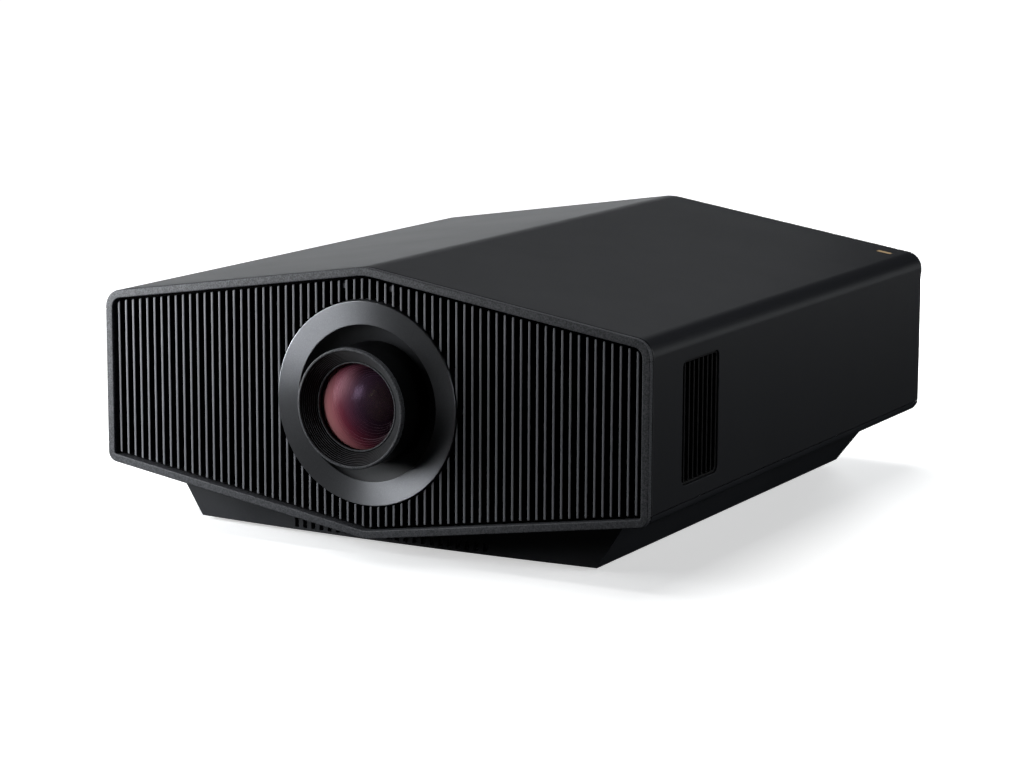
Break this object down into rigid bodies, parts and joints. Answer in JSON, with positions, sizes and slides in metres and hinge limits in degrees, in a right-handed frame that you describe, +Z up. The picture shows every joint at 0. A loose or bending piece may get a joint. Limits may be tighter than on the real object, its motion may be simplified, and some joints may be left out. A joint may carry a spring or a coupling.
{
  "type": "home projector",
  "caption": "Home cinema projector: hexagonal charcoal body on a tapered plinth, finned front, round ring and shifting lens, side vents, rear sockets, screw feet.",
  "frame": {"origin": "middle of the footprint, on the surface the feet stand on", "axes": "-Y out of the lens, +Z up, and +X to the right for someone who faces the lens"},
  "size_m": [0.46, 0.538, 0.2125],
  "materials": {
    "cover_plastic": "satin charcoal with fine texture",
    "rim_plastic": "grainy metallic grey",
    "fin_plastic": "satin dark grey",
    "ring_metal": "fine satin, circular finish",
    "black_plastic": "matt black",
    "button_plastic": "satin black",
    "rubber": "matt",
    "steel": "plain",
    "cast_alloy": "cast, matt",
    "brass": "machined",
    "lens_glass": "coated, magenta reflection",
    "prism_glass": "polished",
    "light_pipe": "clear, satin",
    "ir_plastic": "dark red tint",
    "board": "solder-masked board"
  },
  "bodies": {
    "chassis": {"base_pan": "cover_plastic", "top_cover": "cover_plastic", "front_bezel": "rim_plastic", "front_grille": "fin_plastic", "grille_tabs": "rim_plastic", "lens_ring": "ring_metal", "side_vents": "black_plastic", "rear_panel": "cover_plastic", "rear_vent": "black_plastic", "connector_plate": "steel", "hdmi_sockets": "steel", "data_sockets": "steel", "mini_jacks": "black_plastic", "power_inlet": "black_plastic", "control_plate": "cover_plastic", "status_light": "light_pipe", "ir_window": "ir_plastic", "cover_screws": "steel", "rear_feet": "rubber", "lens_frame": "cast_alloy", "lift_rods": "steel", "lift_motor": "black_plastic", "optics_housing": "black_plastic", "colour_prism": "prism_glass", "imager_panels": "cast_alloy", "laser_module": "steel", "light_sink": "cast_alloy", "wheel_motor": "black_plastic", "circuit_boards": "board", "power_supply": "cast_alloy", "fan_frames": "black_plastic"},
    "lift_carriage": {"lift_plate": "cast_alloy", "cross_rods": "steel", "cross_motor": "black_plastic"},
    "lift_drive": {"lift_screw": "steel"},
    "lens_carriage": {"cross_plate": "cast_alloy", "lens_barrel": "black_plastic", "front_lens": "lens_glass", "lens_motors": "steel"},
    "cross_drive": {"cross_screw": "steel"},
    "zoom_ring": {"zoom_ring": "black_plastic"},
    "zoom_pinion": {"zoom_pinion": "brass"},
    "focus_ring": {"focus_ring": "black_plastic"},
    "focus_pinion": {"focus_pinion": "brass"},
    "fan_left": {"fan_rotor_left": "black_plastic"},
    "fan_right": {"fan_rotor_right": "black_plastic"},
    "phosphor_wheel": {"phosphor_wheel": "brass"},
    "left_foot": {"left_foot_pad": "rubber"},
    "left_foot_wheel": {"left_foot_wheel": "black_plastic"},
    "right_foot": {"right_foot_pad": "rubber"},
    "right_foot_wheel": {"right_foot_wheel": "black_plastic"},
    "power_button": {"power_button": "button_plastic"},
    "input_button": {"input_button": "button_plastic"},
    "menu_button": {"menu_button": "button_plastic"},
    "lens_button": {"lens_button": "button_plastic"},
    "up_button": {"up_button": "button_plastic"},
    "down_button": {"down_button": "button_plastic"},
    "left_button": {"left_button": "button_plastic"},
    "right_button": {"right_button": "button_plastic"},
    "enter_button": {"enter_button": "button_plastic"}
  },
  "joints": [
    {"name": "lens_shift_vertical", "type": "slide", "parent": "chassis", "child": "lift_carriage", "axis": [0, 0, 1], "range_m": [-0.006, 0.006]},
    {"name": "lift_screw_turn", "type": "hinge", "parent": "chassis", "child": "lift_drive", "pos_m": [0.07, -0.091, 0.0285], "axis": [0, 0, 1], "range_deg": [-1081, 1081]},
    {"name": "lens_shift_horizontal", "type": "slide", "parent": "lift_carriage", "child": "lens_carriage", "axis": [1, 0, 0], "range_m": [-0.005, 0.005]},
    {"name": "cross_screw_turn", "type": "hinge", "parent": "lift_carriage", "child": "cross_drive", "pos_m": [0, -0.115, 0.0285], "axis": [1, 0, 0], "range_deg": [-901, 901]},
    {"name": "zoom_ring_turn", "type": "hinge", "parent": "lens_carriage", "child": "zoom_ring", "pos_m": [0, -0.19, 0.1125], "axis": [0, 1, 0], "range_deg": [-45, 45]},
    {"name": "zoom_pinion_turn", "type": "hinge", "parent": "lens_carriage", "child": "zoom_pinion", "pos_m": [0.04253, -0.19, 0.15503], "axis": [0, 1, 0], "range_deg": [-226, 226]},
    {"name": "focus_ring_turn", "type": "hinge", "parent": "lens_carriage", "child": "focus_ring", "pos_m": [0, -0.17, 0.1125], "axis": [0, 1, 0], "range_deg": [-45, 45]},
    {"name": "focus_pinion_turn", "type": "hinge", "parent": "lens_carriage", "child": "focus_pinion", "pos_m": [-0.04253, -0.17, 0.15503], "axis": [0, 1, 0], "range_deg": [-226, 226]},
    {"name": "left_fan_spin", "type": "hinge", "parent": "chassis", "child": "fan_left", "pos_m": [-0.15, -0.212, 0.1125], "axis": [0, 1, 0], "continuous": true},
    {"name": "right_fan_spin", "type": "hinge", "parent": "chassis", "child": "fan_right", "pos_m": [0.15, -0.212, 0.1125], "axis": [0, 1, 0], "continuous": true},
    {"name": "phosphor_wheel_spin", "type": "hinge", "parent": "chassis", "child": "phosphor_wheel", "pos_m": [0.1, 0.083, 0.1125], "axis": [0, 1, 0], "continuous": true},
    {"name": "left_foot_slide", "type": "slide", "parent": "chassis", "child": "left_foot", "axis": [0, 0, -1], "range_m": [0, 0.012]},
    {"name": "left_foot_turn", "type": "hinge", "parent": "left_foot", "child": "left_foot_wheel", "pos_m": [-0.14, -0.163, 0], "axis": [0, 0, 1], "range_deg": [-3457, 1]},
    {"name": "right_foot_slide", "type": "slide", "parent": "chassis", "child": "right_foot", "axis": [0, 0, -1], "range_m": [0, 0.012]},
    {"name": "right_foot_turn", "type": "hinge", "parent": "right_foot", "child": "right_foot_wheel", "pos_m": [0.14, -0.163, 0], "axis": [0, 0, 1], "range_deg": [-3457, 1]},
    {"name": "power_press", "type": "slide", "parent": "chassis", "child": "power_button", "axis": [1, 0, 0], "range_m": [0, 0.001], "stiffness_N_per_m": 1500},
    {"name": "input_press", "type": "slide", "parent": "chassis", "child": "input_button", "axis": [1, 0, 0], "range_m": [0, 0.001], "stiffness_N_per_m": 1500},
    {"name": "menu_press", "type": "slide", "parent": "chassis", "child": "menu_button", "axis": [1, 0, 0], "range_m": [0, 0.001], "stiffness_N_per_m": 1500},
    {"name": "lens_press", "type": "slide", "parent": "chassis", "child": "lens_button", "axis": [1, 0, 0], "range_m": [0, 0.001], "stiffness_N_per_m": 1500},
    {"name": "up_press", "type": "slide", "parent": "chassis", "child": "up_button", "axis": [1, 0, 0], "range_m": [0, 0.001], "stiffness_N_per_m": 1500},
    {"name": "down_press", "type": "slide", "parent": "chassis", "child": "down_button", "axis": [1, 0, 0], "range_m": [0, 0.001], "stiffness_N_per_m": 1500},
    {"name": "left_press", "type": "slide", "parent": "chassis", "child": "left_button", "axis": [1, 0, 0], "range_m": [0, 0.001], "stiffness_N_per_m": 1500},
    {"name": "right_press", "type": "slide", "parent": "chassis", "child": "right_button", "axis": [1, 0, 0], "range_m": [0, 0.001], "stiffness_N_per_m": 1500},
    {"name": "enter_press", "type": "slide", "parent": "chassis", "child": "enter_button", "axis": [1, 0, 0], "range_m": [0, 0.001], "stiffness_N_per_m": 1500}
  ],
  "couplings": [
    {"joint": "lift_screw_turn", "follows": "lens_shift_vertical", "rad_per_m": -3141.6},
    {"joint": "cross_screw_turn", "follows": "lens_shift_horizontal", "rad_per_m": -3141.6},
    {"joint": "zoom_pinion_turn", "follows": "zoom_ring_turn", "ratio": -5},
    {"joint": "focus_pinion_turn", "follows": "focus_ring_turn", "ratio": -5},
    {"joint": "left_foot_turn", "follows": "left_foot_slide", "rad_per_m": -5026.5},
    {"joint": "right_foot_turn", "follows": "right_foot_slide", "rad_per_m": -5026.5}
  ]
}
